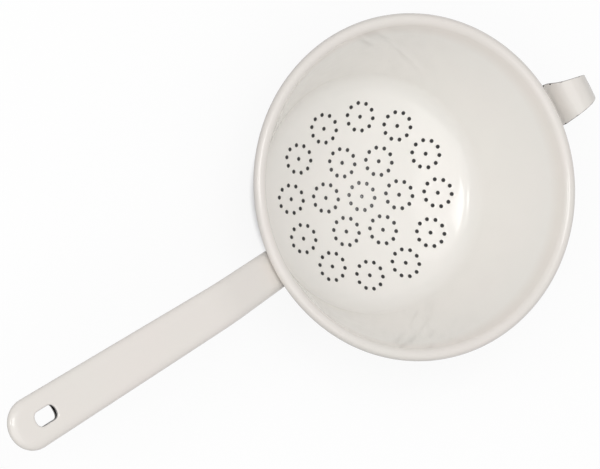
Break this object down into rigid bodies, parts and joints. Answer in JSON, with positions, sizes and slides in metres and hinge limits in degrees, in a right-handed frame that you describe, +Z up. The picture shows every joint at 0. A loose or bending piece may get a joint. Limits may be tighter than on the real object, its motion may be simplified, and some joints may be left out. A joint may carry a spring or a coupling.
{
  "type": "enamelled colander",
  "caption": "Round enamelled steel colander with a pierced domed floor, a long hollow handle with a hanging slot, and a bent strip hook that rests on a pot's edge.",
  "frame": {"origin": "lowest point of the domed floor, on the bowl's axis, where the bowl rests on a table", "axes": "+Z up the bowl's axis towards its mouth, +X out along the handle, +Y to the left of the handle seen from above"},
  "size_m": [0.4191, 0.2, 0.1096],
  "materials": {
    "white_enamel": "gloss"
  },
  "bodies": {
    "root": {"bowl": "white_enamel", "handle_upper_shell": "white_enamel", "handle_lower_shell": "white_enamel", "pot_hook": "white_enamel"}
  },
  "joints": []
}
